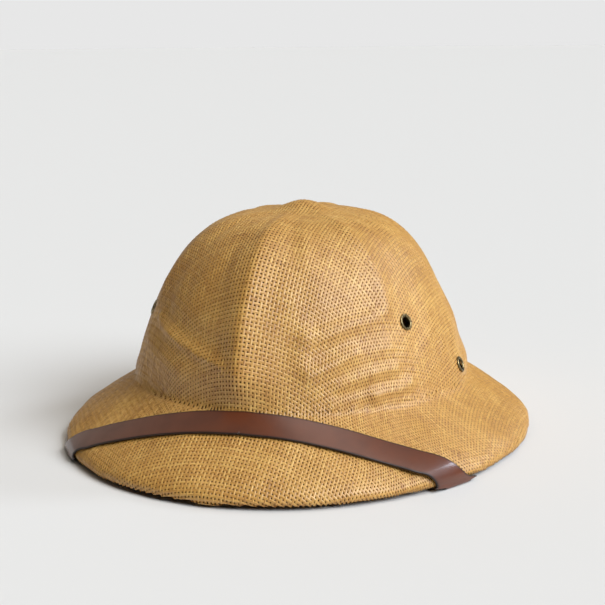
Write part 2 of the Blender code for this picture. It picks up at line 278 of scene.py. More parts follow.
@dataclass(frozen=True)
class VarnishedPaperStraw:
    """Flat strands of twisted paper straw, woven, moulded and varnished."""

    light: str = "E3B868"
    middle: str = "C48F41"
    dark: str = "925D23"
    strand_tone: float = 0.11
    streak_tone: float = 0.38
    patch_tone: float = 0.06
    roughness_between: float = 0.55
    roughness_on_streak: float = 0.43
    ior: float = 1.50
    varnish: float = 0.6
    varnish_roughness: float = 0.42
    patch_size: float = 24 * MM
    streak_length: float = 9 * MM
    streak_width: float = 0.45 * MM
    streak_depth: float = 0.05 * MM
    streak_relief: float = 0.6
    strand_apart: float = 7.13

    def material(self, family: Family) -> bpy.types.Material:
        """Makes the material of one set of strands.

        Args:
            family: Which strands it dresses.

        Returns:
            The material.
        """
        # Each strand is cut from its own paper, so its tone changes from strand to strand and slowly
        # along it, and thin varnish gives the tops of the strands a soft gloss.
        material, tree, shader = new_material(f"paper_straw_woven_varnished_{family.value}")
        strand, along, across = (
            add_node(tree, "ShaderNodeAttribute", {"attribute_name": name}).outputs["Fac"]
            for name in ("strand", "along", "across")
        )
        own_tone = add_node(
            tree, "ShaderNodeTexWhiteNoise", {"noise_dimensions": "1D"}, {"W": strand}
        ).outputs["Value"]
        # The fibre streaks of the paper are near 0.1 mm wide, and are drawn coarser so that they show
        lengthways, sideways, apart = (
            add_node(tree, "ShaderNodeMath", {"operation": kind}, {0: value, 1: size}).outputs[0]
            for kind, value, size in (
                ("DIVIDE", along, self.streak_length),
                ("DIVIDE", across, self.streak_width),
                ("MULTIPLY", strand, self.strand_apart),
            )
        )
        place = add_node(
            tree, "ShaderNodeCombineXYZ", inputs={"X": lengthways, "Y": sideways, "Z": apart}
        ).outputs[0]
        streaks = add_node(
            tree,
            "ShaderNodeTexNoise",
            inputs={"Vector": place, "Scale": 1.0, "Detail": 2.0, "Roughness": 0.6},
        ).outputs[0]
        where = add_node(tree, "ShaderNodeTexCoord").outputs["Object"]
        patches = add_node(
            tree,
            "ShaderNodeTexNoise",
            inputs={"Vector": where, "Scale": 1 / self.patch_size, "Detail": 2.0},
        ).outputs[0]
        # The tone of the strand, of the streaks on it and of the patch of cloth that it lies in
        tone, grain, patch = (
            add_node(
                tree,
                "ShaderNodeMapRange",
                inputs={
                    "Value": value,
                    "From Min": 0.5 - span,
                    "From Max": 0.5 + span,
                    "To Min": level - swing,
                    "To Max": level + swing,
                },
            ).outputs[0]
            for value, span, level, swing in (
                (own_tone, 0.5, 0.0, self.strand_tone),
                (streaks, 0.2, 0.5, self.streak_tone),
                (patches, 0.15, 0.0, self.patch_tone),
            )
        )
        mixed = add_node(tree, "ShaderNodeMath", {"operation": "ADD"}, {0: tone, 1: grain}).outputs[0]
        mixed = add_node(
            tree, "ShaderNodeMath", {"operation": "ADD", "use_clamp": True}, {0: mixed, 1: patch}
        ).outputs[0]
        colour = linear_colour(self.dark)
        for low, high, shade in ((0.0, 0.5, self.middle), (0.5, 1.0, self.light)):
            share = add_node(
                tree, "ShaderNodeMapRange", inputs={"Value": mixed, "From Min": low, "From Max": high}
            ).outputs[0]
            colour = add_node(
                tree,
                "ShaderNodeMix",
                {"data_type": "RGBA"},
                {0: share, 6: colour, 7: linear_colour(shade)},
            ).outputs[2]
        gloss = add_node(
            tree,
            "ShaderNodeMapRange",
            inputs={
                "Value": streaks,
                "From Min": 0.3,
                "From Max": 0.7,
                "To Min": self.roughness_between,
                "To Max": self.roughness_on_streak,
            },
        )
        bump = add_node(
            tree,
            "ShaderNodeBump",
            inputs={"Height": streaks, "Distance": self.streak_depth, "Strength": self.streak_relief},
        )
        looks = {
            "Base Color": colour,
            "Roughness": gloss.outputs[0],
            "Normal": bump.outputs[0],
            "IOR": self.ior,
            "Coat Weight": self.varnish,
            "Coat Roughness": self.varnish_roughness,
        }
        set_inputs(shader, looks)
        return material


@dataclass(frozen=True)
class PressedStrawBacking:
    """The inner layer of straw, pressed and stiffened with size; its outer face, seen through the
    weave's gaps, carries painted shade.
    """

    # Painted shade: these two near-black browns colour the outer face, which shows only through the
    # weave's gaps
    deep: str = "2E1606"
    paler_gap_shade: str = "4C290E"
    inside_light: str = "C79A60"
    inside_dark: str = "94683A"
    roughness: float = 0.8
    sheen: float = 0.12
    fleck_size: float = 3 * MM
    fleck_depth: float = 0.3 * MM
    fleck_relief: float = 0.5

    def material(self, inside: bool) -> bpy.types.Material:
        """Makes the material of the outer or the inner face.

        Args:
            inside: Whether it dresses the face towards the head and the turned edge.

        Returns:
            The material.
        """
        # The outer face is coloured near-black brown as painted shade for the gaps between the strands,
        # the inner face keeps the straw's own colours, and both are dull
        name = "straw_pressed_inside" if inside else "straw_pressed_under_weave_painted_shade"
        material, tree, shader = new_material(name)
        colours = (self.inside_dark, self.inside_light) if inside else (self.deep, self.paler_gap_shade)
        flecks, colour = clouded(tree, self.fleck_size, 3.0, colours)
        bump = add_node(
            tree,
            "ShaderNodeBump",
            inputs={"Height": flecks, "Distance": self.fleck_depth, "Strength": self.fleck_relief},
        )
        looks = {
            "Base Color": colour,
            "Normal": bump.outputs[0],
            "Roughness": self.roughness,
            "Specular IOR Level": self.sheen,
        }
        set_inputs(shader, looks)
        return material


@dataclass(frozen=True)
class BurnishedLeather:
    """Cowhide strap leather, dyed, finished and burnished, with painted edges."""

    face: str = "612D12"
    face_dark: str = "572810"
    edge: str = "24140D"
    roughness_worn: float = 0.35
    roughness_dull: float = 0.46
    ior: float = 1.50
    finish: float = 0.6
    finish_roughness: float = 0.18
    cloud_size: float = 14 * MM
    pore_size: float = 0.5 * MM
    pore_depth: float = 0.05 * MM
    pore_relief: float = 0.25

    def material(self) -> bpy.types.Material:
        """Makes the material, which reads how near to an edge each point lies.

        Returns:
            The material.
        """
        # A finished face has fine pores and a low even gloss, and the cut edges are painted dark
        material, tree, shader = new_material("cowhide_strap_dyed_burnished")
        clouds, face = clouded(tree, self.cloud_size, 4.0, (self.face, self.face_dark))
        edge = add_node(tree, "ShaderNodeAttribute", {"attribute_name": "edge"}).outputs["Fac"]
        colour = add_node(
            tree, "ShaderNodeMix", {"data_type": "RGBA"}, {0: edge, 6: face, 7: linear_colour(self.edge)}
        )
        # Pores are near 0.2 mm apart, and are drawn coarser so that they show
        where = add_node(tree, "ShaderNodeTexCoord").outputs["Object"]
        pores = add_node(
            tree,
            "ShaderNodeTexVoronoi",
            {"feature": "DISTANCE_TO_EDGE"},
            {"Vector": where, "Scale": 1 / self.pore_size},
        ).outputs[0]
        bump = add_node(
            tree,
            "ShaderNodeBump",
            inputs={"Height": pores, "Distance": self.pore_depth, "Strength": self.pore_relief},
        )
        gloss = add_node(
            tree,
            "ShaderNodeMapRange",
            inputs={
                "Value": clouds,
                "From Min": 0.3,
                "From Max": 0.7,
                "To Min": self.roughness_worn,
                "To Max": self.roughness_dull,
            },
        )
        finish = add_node(
            tree, "ShaderNodeMapRange", inputs={"Value": edge, "To Min": self.finish, "To Max": 0.0}
        )
        looks = {
            "Base Color": colour.outputs[2],
            "Roughness": gloss.outputs[0],
            "Normal": bump.outputs[0],
            "IOR": self.ior,
            "Coat Weight": finish.outputs[0],
            "Coat Roughness": self.finish_roughness,
        }
        set_inputs(shader, looks)
        return material


@dataclass(frozen=True)
class AgedBrass:
    """Brass eyelet, stamped, rolled and darkened."""

    metal: str = "9C8A62"
    tarnish: str = "4A3C26"
    roughness_rubbed: float = 0.24
    roughness_tarnished: float = 0.48
    spot_size: float = 1.2 * MM

    def material(self) -> bpy.types.Material:
        """Makes the material.

        Returns:
            The material.
        """
        # Antique finish: brass shows in rubbed spots and stays brown beside them
        material, tree, shader = new_material("brass_stamped_antiqued")
        spots, colour = clouded(tree, self.spot_size, 3.0, (self.metal, self.tarnish), (0.35, 0.7))
        dull = add_node(
            tree,
            "ShaderNodeMapRange",
            inputs={
                "Value": spots,
                "To Min": self.roughness_rubbed,
                "To Max": self.roughness_tarnished,
            },
        )
        set_inputs(shader, {"Base Color": colour, "Roughness": dull.outputs[0], "Metallic": 1.0})
        return material


@dataclass(frozen=True)
class MattPaper:
    """A studio's paper floor."""

    light: str = "E3E0DB"
    dark: str = "E2DFDA"
    cloud_scale: float = 0.4
    roughness: float = 0.9

    def material(self) -> bpy.types.Material:
        """Makes the material."""
        # Uncoated paper is dull and even
        material, tree, shader = new_material("paper_background_uncoated")
        clouds = add_node(tree, "ShaderNodeTexNoise", inputs={"Scale": self.cloud_scale}).outputs[0]
        tone = add_node(
            tree,
            "ShaderNodeMix",
            {"data_type": "RGBA"},
            {0: clouds, 6: linear_colour(self.light), 7: linear_colour(self.dark)},
        )
        set_inputs(shader, {"Base Color": tone.outputs[2], "Roughness": self.roughness})
        return material


# The hat's surface


@dataclass(frozen=True)
class Ridge:
    """A ridge between two of the crown's panels."""

    azimuth: float
    rise: float
    reach: float
    fade_start: float
    fade_end: float


@dataclass(frozen=True)
class Fold:
    """A crease, dent or roll pressed in the crown along a line between two places."""

    azimuth_1: float
    share_1: float
    azimuth_2: float
    share_2: float
    reach: float
    rise: float


@dataclass(frozen=True)
class Ripple:
    """A faint wave left in the straw by the mould: its waves round the hat, and radians up it."""

    turns: int
    climb: float
    rise: float
    phase: float


@dataclass(frozen=True)
class HatForm:
    """The hat's outer surface: the solid's, with its creases drawn finer."""

    crown_half_width: float = 0.1027
    crown_front: float = 0.1183
    crown_back: float = 0.1275
    crown_oval: float = 1.95
    crown_rise: float = 0.1015
    crown_taper: float = 0.118
    crown_shoulder: float = 1.64
    crown_flatness: float = 3.85
    knob_rise: float = 0.0064
    knob_reach: float = 0.0150
    knob_place: tuple[float, float] = (0.0020, 0.0)
    ridge_round: float = 0.0022
    join_front_rise: float = 0.0047
    join_back_drop: float = 0.0020
    brim_half_width: float = 0.1444
    brim_front: float = 0.1649
    brim_back: float = 0.1580
    brim_drop: float = 0.0337
    brim_start_slope: float = 44.0
    brim_start_handle: float = 0.220
    brim_end_slope: float = 86.0
    brim_end_handle: float = 0.130
    lip: float = 0.0030
    wall: float = 0.0022
    rim_height: float = 0.00205
    rim_dip_start: float = 100.0
    rim_dip_end: float = 152.0
    ridge_full_from: float = 0.75
    ridge_narrowing: float = 1.6
    fold_fade: tuple[float, float] = (-0.08, -0.02)
    ripple_fade: tuple[float, float] = (0.02, 0.05)
    ridges: tuple[Ridge, ...] = (
        Ridge(0, 0.0062, 0.026, 0.02, 0.20),
        Ridge(50, 0.0030, 0.018, 0.40, 0.62),
        Ridge(130, 0.0024, 0.018, 0.40, 0.62),
        Ridge(180, 0.0040, 0.026, 0.02, 0.20),
        Ridge(230, 0.0024, 0.018, 0.40, 0.62),
        Ridge(310, 0.0028, 0.018, 0.40, 0.62),
    )
    folds: tuple[Fold, ...] = (
        Fold(-43, 0.425, -5, 0.236, 0.0024, 0.0014),
        Fold(-37, 0.470, -6, 0.330, 0.0060, -0.0011),
        Fold(-50, 0.300, -22, 0.170, 0.0060, 0.0009),
        Fold(-40, 0.055, -8, 0.035, 0.0100, -0.0020),
        Fold(27, 0.040, 40, 0.070, 0.0034, 0.0012),
        Fold(40, 0.066, 55, 0.096, 0.0036, 0.0018),
        Fold(30, 0.105, 52, 0.155, 0.0055, -0.0009),
        Fold(29, 0.130, 40, 0.176, 0.0036, 0.0014),
        Fold(42, 0.184, 50, 0.194, 0.0036, 0.0014),
        Fold(20, 0.200, 35, 0.308, 0.0042, 0.0015),
        Fold(41, 0.300, 49, 0.322, 0.0040, 0.0009),
        Fold(22, 0.300, 36, 0.400, 0.0055, -0.0010),
        Fold(20, 0.405, 50, 0.510, 0.0050, 0.0013),
        Fold(24, 0.480, 48, 0.575, 0.0060, -0.0010),
        Fold(62, 0.220, 72, 0.330, 0.0055, 0.0009),
        Fold(66, 0.130, 80, 0.240, 0.0055, 0.0010),
        Fold(14, 0.000, 68, 0.002, 0.0016, 0.0014),
        Fold(80, 0.055, 122, 0.055, 0.0110, 0.0026),
        Fold(94, 0.270, 108, 0.330, 0.0120, 0.0014),
        Fold(-86, 0.060, -66, 0.055, 0.0100, 0.0014),
        Fold(-104, 0.140, -72, 0.230, 0.0060, 0.0009),
        Fold(-118, 0.300, -96, 0.240, 0.0060, -0.0008),
        Fold(150, 0.090, 186, 0.130, 0.0060, 0.0010),
        Fold(-166, 0.170, -140, 0.110, 0.0060, 0.0009),
        Fold(132, 0.330, 158, 0.250, 0.0060, -0.0008),
    )
    ripples: tuple[Ripple, ...] = (
        Ripple(13, 5.0, 0.00013, 0.4),
        Ripple(-17, 7.0, 0.00012, 2.1),
        Ripple(23, 9.0, 0.00011, 4.0),
        Ripple(-29, 12.0, 0.00009, 1.2),
        Ripple(37, 10.0, 0.00007, 5.1),
    )

    @property
    def join_height(self) -> float:
        """Height of the join of crown and brim at the sides."""
        return self.rim_height + self.brim_drop

    @property
    def middle_y(self) -> float:
        """Place of the crown's middle from back to front."""
        return (self.brim_front - self.brim_back) / 2

    @staticmethod
    def oval(azimuth: Array, half_width: float, front: float, back: float, power: float) -> Array:
        """Radius of an egg-shaped oval at an azimuth."""
        angle = np.radians(azimuth)
        half_length = np.where(np.cos(angle) > 0, front, back)
        sideways = np.abs(np.sin(angle) / half_width) ** power
        lengthways = np.abs(np.cos(angle) / half_length) ** power
        return (sideways + lengthways) ** (-1 / power)

    def crown_radius(self, azimuth: Array) -> Array:
        """Radius of the crown at the join."""
        return self.oval(
            azimuth, self.crown_half_width, self.crown_front, self.crown_back, self.crown_oval
        )

    def brim_radius(self, azimuth: Array) -> Array:
        """Radius of the brim's edge."""
        return self.oval(azimuth, self.brim_half_width, self.brim_front, self.brim_back, 2.0)

    def join_level(self, azimuth: Array) -> Array:
        """Height of the join of crown and brim."""
        forward = np.cos(np.radians(azimuth))
        change = np.where(forward > 0, self.join_front_rise, -self.join_back_drop)
        return self.join_height + change * forward**2

    def rim_level(self, azimuth: Array) -> Array:
        """Height of the brim's lower edge, which dips to the ground at the back."""
        away = np.abs(turned(azimuth, 0))
        return self.rim_height * (1 - smooth_step(away, self.rim_dip_start, self.rim_dip_end))

    def placed(self, azimuth: Array, radius: Array, height: Array) -> Array:
        """Places as an array of x, y and z."""
        angle = np.radians(azimuth)
        x, y = radius * np.sin(angle), self.middle_y - radius * np.cos(angle)
        return np.stack(np.broadcast_arrays(x, y, height), -1)

    def crown_profile(self, azimuth: Array, share: Array) -> tuple[Array, Array]:
        """Radius and height of the crown without ridges and folds."""
        share = np.asarray(share, float)
        above = np.clip(share, 0, 1)
        narrowing = 1 - above**self.crown_shoulder
        narrowing = (1 - self.crown_taper * share) * narrowing ** (1 / self.crown_flatness)
        top = self.join_height + self.crown_rise
        height = self.join_level(azimuth) * (1 - share) + top * share
        return self.crown_radius(azimuth) * narrowing, height

    def brim_profile(self, azimuth: Array, share: Any) -> tuple[Array, Array]:
        """Radius and height of the brim's upper surface, from the join at 0 to the lip at 1."""
        start_radius, end_radius = self.crown_radius(azimuth), self.brim_radius(azimuth)
        start_height, end_height = self.join_level(azimuth), self.rim_level(azimuth) + self.lip
        reach = np.hypot(end_radius - start_radius, start_height - end_height)
        start, end = math.radians(self.brim_start_slope), math.radians(self.brim_end_slope)
        first, last = self.brim_start_handle * reach, self.brim_end_handle * reach
        points = (
            (start_radius, start_height),
            (start_radius + first * math.cos(start), start_height - first * math.sin(start)),
            (end_radius - last * math.cos(end), end_height + last * math.sin(end)),
            (end_radius, end_height),
        )
        rest = 1 - share
        weights = (rest**3, 3 * share * rest**2, 3 * share**2 * rest, share**3)
        radius = sum(weight * point[0] for weight, point in zip(weights, points))
        height = sum(weight * point[1] for weight, point in zip(weights, points))
        return radius, height

    def relief(self, azimuth: Array, share: Array, radius: Array) -> Array:
        """How far ridges, folds and knob stand out of the smooth crown.

        Args:
            azimuth: Azimuths of the places.
            share: Their height shares, below 0 on the brim.
            radius: Their distances from the middle line.

        Returns:
            Heights over the smooth surface.
        """
        base = self.crown_radius(azimuth)
        relief = np.zeros_like(radius)
        # The ridges narrow towards the knob, where they meet, and the highest one shows
        for ridge in self.ridges:
            narrowing = np.clip(radius / base / self.ridge_full_from, 1e-6, 1)
            away = np.abs(np.radians(turned(azimuth, ridge.azimuth))) * radius
            away = np.sqrt(away**2 + self.ridge_round**2) - self.ridge_round
            crest = np.clip(1 - away / ridge.reach / narrowing, 0, 1) ** 2
            crest = ridge.rise * narrowing**self.ridge_narrowing * crest
            crest = crest * smooth_step(share, ridge.fade_start, ridge.fade_end)
            relief = np.maximum(relief, crest)
        # A fold is strongest along its line, on the crown unrolled round its foot
        for fold in self.folds:
            along = np.radians(turned(fold.azimuth_2, fold.azimuth_1)) * base
            up = (fold.share_2 - fold.share_1) * self.crown_rise
            x = np.radians(turned(azimuth, fold.azimuth_1)) * base
            y = (share - fold.share_1) * self.crown_rise
            part = np.clip((x * along + y * up) / (along**2 + up**2), 0, 1)
            off = np.hypot(x - part * along, y - part * up) / fold.reach
            relief = relief + fold.rise * np.exp(-(off**2)) * smooth_step(share, *self.fold_fade)
        for ripple in self.ripples:
            wave = np.sin(ripple.turns * np.radians(azimuth) + ripple.climb * share + ripple.phase)
            relief = relief + ripple.rise * wave * smooth_step(radius, *self.ripple_fade)
        angle = np.radians(azimuth)
        off_x = radius * np.sin(angle) - self.knob_place[0]
        off_y = radius * np.cos(angle) - self.knob_place[1]
        return relief + self.knob_rise * np.exp(-(off_x**2 + off_y**2) / self.knob_reach**2)


@dataclass
class SurfaceTable:
    """The hat's surface sampled by azimuth and run, from the top over the rim to the inner face."""

    form: HatForm
    turn_step: float = 0.5
    run_step: float = 0.5 * MM
    longest_run: float = 0.3
    first_drop: float = 1e-9
    crown_rows: int = 260
    brim_rows: int = 70
    lip_rows: int = 5
    rim_rows: int = 11
    inner_rows: int = 60
    share_step: float = 1e-4
    inner_share: float = 0.05
    strand_room: float = 0.4 * MM
    turns: Array = field(init=False)
    runs: Array = field(init=False)
    share: Array = field(init=False)
    plain: Array = field(init=False)
    shown: Array = field(init=False)
    normal: Array = field(init=False)
    rim_run: Array = field(init=False)
    edge_run: Array = field(init=False)

    def __post_init__(self) -> None:
        """Fills the tables."""
        form, self.turns = self.form, np.arange(0, 360, self.turn_step)
        self.runs = np.arange(0, self.longest_run, self.run_step)
        rows, rim_row, edge_row = self.rows()
        places = np.stack([form.placed(self.turns, *row[:2]) for row in rows], 1)
        shares = np.array([row[2] for row in rows])
        length = run_along(places, 1)
        self.rim_run, self.edge_run = length[:, rim_row], length[:, edge_row]
        self.share = np.stack([np.interp(self.runs, run, shares) for run in length])
        self.plain = np.stack(
            [
                np.stack([np.interp(self.runs, run, place[:, axis]) for axis in range(3)], -1)
                for run, place in zip(length, places)
            ]
        )
        azimuth = np.broadcast_to(self.turns[:, None], self.share.shape)
        radius = np.hypot(self.plain[..., 0], self.plain[..., 1] - form.middle_y)
        relief = form.relief(azimuth, self.share, radius)
        self.shown = self.plain + self.outward(self.plain) * relief[..., None]
        self.normal = self.outward(self.shown)

    def rows(self) -> tuple[list[tuple[Array, Array, float]], int, int]:
        """Rings of places round the hat, from the top over the rim to the inner face.

        Returns:
            Radii, heights and height share of each ring, and the numbers of the rings at the rim's
            outer and inner edge.
        """
        form, turns = self.form, self.turns
        # The rings crowd at the top, where the crown is nearly level
        shares = 1 - np.concatenate([[0], np.geomspace(self.first_drop, 1, self.crown_rows)])
        rows = [(*form.crown_profile(turns, share), share) for share in shares]
        brim = np.linspace(0, 1, self.brim_rows)[1:]
        rows += [(*form.brim_profile(turns, share), -share) for share in brim]
        # From the lip the edge goes straight down, then half round to its inner side
        radius, height = form.brim_profile(turns, 1.0)
        half = form.wall / 2
        level = form.rim_level(turns) + self.strand_room + half
        lip = np.linspace(0, 1, self.lip_rows)[1:]
        rows += [(radius, height + (level - height) * part, -1.0) for part in lip]
        rim_row = len(rows) - 1
        for angle in np.linspace(0, np.pi, self.rim_rows)[1:]:
            out, down = half * np.cos(angle), half * np.sin(angle)
            rows.append((radius - half + out, level - down, -1.0))
        edge_row = len(rows) - 1
        # The inner face goes back up, one wall away from the brim
        for share in np.linspace(1, self.inner_share, self.inner_rows):
            radius, height = form.brim_profile(turns, share)
            before = form.brim_profile(turns, share - self.share_step)
            after = form.brim_profile(turns, share + self.share_step)
            out, down = after[0] - before[0], after[1] - before[1]
            shift = form.wall / np.hypot(out, down)
            rows.append((radius + down * shift, height - out * shift, -1.0))
        return rows, rim_row, edge_row

    @staticmethod
    def outward(places: Array) -> Array:
        """Directions out of a table of places, by azimuth and run."""
        across = np.roll(places, -1, axis=0) - np.roll(places, 1, axis=0)
        down = np.gradient(places, axis=1)
        out = unit(np.cross(down, across))
        out[:, 0] = (0, 0, 1)
        return out

    def pick(self, table: Array, x: Array, y: Array) -> Array:
        """Values of a table at places of the flattened surface.

        Args:
            table: Values by azimuth and run.
            x: Run times the azimuth's sine.
            y: Run times its cosine.

        Returns:
            Interpolated values.
        """
        turn = (np.degrees(np.arctan2(x, y)) % 360) / self.turn_step
        low = np.floor(turn).astype(int)
        part = turn - low
        low, high = low % len(self.turns), (low + 1) % len(self.turns)
        run = np.clip(np.hypot(x, y) / self.run_step, 0, len(self.runs) - 1.001)
        near = run.astype(int)
        rest = run - near
        if table.ndim == 3:
            part, rest = part[..., None], rest[..., None]
        first = table[low, near] * (1 - rest) + table[low, near + 1] * rest
        second = table[high, near] * (1 - rest) + table[high, near + 1] * rest
        return first * (1 - part) + second * part

    def at_turn(self, values: Array, x: Array, y: Array) -> Array:
        """Values given for each azimuth, at places of the flattened surface."""
        turn = np.degrees(np.arctan2(x, y)) % 360
        return np.interp(turn, np.append(self.turns, 360), np.append(values, values[0]))


@dataclass
class DrapedWeave:
    """The crossings of a plain weave laid over the hat, whose strands keep their spacing."""

    table: SurfaceTable
    warp_pitch: float = 2.15 * MM
    weft_pitch: float = 2.38 * MM
    warps: int = 150
    wefts: int = 140
    corrections: int = 8
    longest_step: float = 1 * MM
    slope_reach: float = 0.05 * MM
    allowed: float = 0.7 * MM
    x: Array = field(init=False)
    y: Array = field(init=False)
    sound: Array = field(init=False)

    def __post_init__(self) -> None:
        """Lays the four quarters and joins them along the two straight strands."""
        self.x = np.zeros((2 * self.warps - 1, 2 * self.wefts - 1))
        self.y = np.zeros_like(self.x)
        self.sound = np.zeros(self.x.shape, bool)
        for right in (1, -1):
            for front in (1, -1):
                warp = self.warps - 1 + right * np.arange(self.warps)
                weft = self.wefts - 1 + front * np.arange(self.wefts)
                where = np.ix_(warp, weft)
                self.x[where], self.y[where], self.sound[where] = self.quarter(right, front)

    def quarter(self, right: int, front: int) -> tuple[Array, Array, Array]:
        """Lays one quarter, crossing by crossing outwards from the middle.

        Args:
            right: 1 or -1 for the side of the hat.
            front: 1 for the front half and -1 for the back.

        Returns:
            Flattened places of the crossings, and which of them keep their spacing.
        """
        count, depth = self.warps, self.wefts
        x, y = np.zeros((count, depth)), np.zeros((count, depth))
        sound = np.ones((count, depth), bool)
        x[:, 0] = right * self.warp_pitch * np.arange(count)
        y[0, :] = front * self.weft_pitch * np.arange(depth)
        for line in range(2, count + depth - 1):
            i = np.arange(max(1, line - depth + 1), min(count - 1, line - 1) + 1)
            j = line - i
            x[i, j], y[i, j], kept = self.meet(x, y, i, j)
            sound[i, j] = kept & sound[i - 1, j] & sound[i, j - 1]
        return x, y, sound

    def spot(self, x: Array, y: Array) -> Array:
        """Places on the smooth surface, from flattened ones."""
        return self.table.pick(self.table.plain, x, y)

    def meet(self, x: Array, y: Array, i: Array, j: Array) -> tuple[Array, Array, Array]:
        """Finds the places at the right distances from their two neighbours.

        Args:
            x: Flattened places laid so far.
            y: The same, lengthways.
            i: Warp numbers of the places to find.
            j: Their weft numbers.

        Returns:
            The new flattened places, and which of them are at the right distances.
        """
        beside, before = self.spot(x[i - 1, j], y[i - 1, j]), self.spot(x[i, j - 1], y[i, j - 1])
        a = x[i - 1, j] + x[i, j - 1] - x[i - 1, j - 1]
        b = y[i - 1, j] + y[i, j - 1] - y[i - 1, j - 1]
        near = self.slope_reach
        # Each round corrects the place by how the two squared distances change near it, in steps
        # that can't jump a strand
        for _ in range(self.corrections):
            place = self.spot(a, b)
            by_a = (self.spot(a + near, b) - self.spot(a - near, b)) / (2 * near)
            by_b = (self.spot(a, b + near) - self.spot(a, b - near)) / (2 * near)
            to_beside, to_before = place - beside, place - before
            miss_1 = (to_beside**2).sum(1) - self.warp_pitch**2
            miss_2 = (to_before**2).sum(1) - self.weft_pitch**2
            j11, j12 = 2 * (to_beside * by_a).sum(1), 2 * (to_beside * by_b).sum(1)
            j21, j22 = 2 * (to_before * by_a).sum(1), 2 * (to_before * by_b).sum(1)
            scale = j11 * j22 - j12 * j21
            scale = np.where(np.abs(scale) < 1e-9, np.sign(scale + 1e-15) * 1e-9, scale)
            step_a = -(j22 * miss_1 - j12 * miss_2) / scale
            step_b = -(-j21 * miss_1 + j11 * miss_2) / scale
            limit = np.minimum(1, self.longest_step / np.maximum(np.hypot(step_a, step_b), 1e-9))
            a, b = a + step_a * limit, b + step_b * limit
        kept = (np.abs(miss_1) < self.allowed**2) & (np.abs(miss_2) < self.allowed**2)
        return a, b, kept


@dataclass
class VentEyelet:
    """A rolled ring eyelet: a barrel through the wall and a flange on each face of it."""

    name: str
    azimuth: float
    share: float
    outer: float = 0.0100
    hole: float = 0.0063
    barrel: float = 0.0075
    roll: float = 0.0009
    rear_roll: float = 0.00063
    seat: float = 0.10 * MM
    edge_in: float = 0.15 * MM
    edge_drop: float = 0.05 * MM
    front_points: int = 15
    rear_points: int = 11
    sides: int = 56

    def place(self, table: SurfaceTable) -> Matrix:
        """Finds where the eyelet sits.

        Args:
            table: The hat's surface.

        Returns:
            A matrix whose Z axis points out of the crown.
        """
        row = int(round(self.azimuth % 360 / table.turn_step)) % len(table.turns)
        on_crown = table.share[row] >= 0
        run = np.interp(-self.share, -table.share[row][on_crown], table.runs[on_crown])
        angle = math.radians(self.azimuth)
        x, y = np.array([run * math.sin(angle)]), np.array([run * math.cos(angle)])
        middle = table.pick(table.shown, x, y)[0]
        outward = Vector(table.pick(table.normal, x, y)[0]).normalized()
        across = Vector((math.cos(angle), math.sin(angle), 0))
        upward = outward.cross(across).normalized()
        across = upward.cross(outward)
        turn = Matrix((across, upward, outward)).transposed().to_4x4()
        return Matrix.Translation(Vector(middle)) @ turn

    def profile(self, wall: float) -> list[tuple[float, float]]:
        """Closed outline of the ring's section, as radius and height.

        Args:
            wall: Thickness of the shell.

        Returns:
            Points round the section.
        """
        hole, barrel, outer = self.hole / 2, self.barrel / 2, self.outer / 2
        front, rear, reach = self.seat, -wall - self.seat, (outer - hole) / 2
        rounds = (
            (np.linspace(math.pi, 0, self.front_points), front, self.roll),
            (np.linspace(0, -math.pi, self.rear_points), rear, self.rear_roll),
        )
        lips = [
            [(hole + reach + reach * math.cos(a), level + roll * math.sin(a)) for a in angles]
            for angles, level, roll in rounds
        ]
        corners = [(outer - self.edge_in, front - self.edge_drop), (barrel, front)]
        corners += [(barrel, rear), (outer - self.edge_in, rear + self.edge_drop)]
        return lips[0] + corners + lips[1]

    def build(self, table: SurfaceTable, finish: AgedBrass) -> bpy.types.Object:
        """Builds the ring by turning its section.

        Args:
            table: The hat's surface.
            finish: Its metal.

        Returns:
            The eyelet.
        """
        section = np.array(self.profile(table.form.wall))
        angles = np.linspace(0, 2 * np.pi, self.sides, endpoint=False)
        rows = np.stack(
            [
                np.outer(np.cos(angles), section[:, 0]),
                np.outer(np.sin(angles), section[:, 0]),
                np.broadcast_to(section[:, 1], (self.sides, len(section))),
            ],
            -1,
        )
        turn = np.array(self.place(table))
        points = rows.reshape(-1, 3) @ turn[:3, :3].T + turn[:3, 3]
        count = len(section)
        faces, last = grid_faces(self.sides, count, True), (self.sides - 1) * count
        faces += [
            (last + place, last + (place + 1) % count, (place + 1) % count, place)
            for place in range(count)
        ]
        faces = [face[::-1] for face in faces]
        ring = mesh_piece(f"{self.name}_ring", points, faces, finish.material())
        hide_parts(self.name)
        return ring


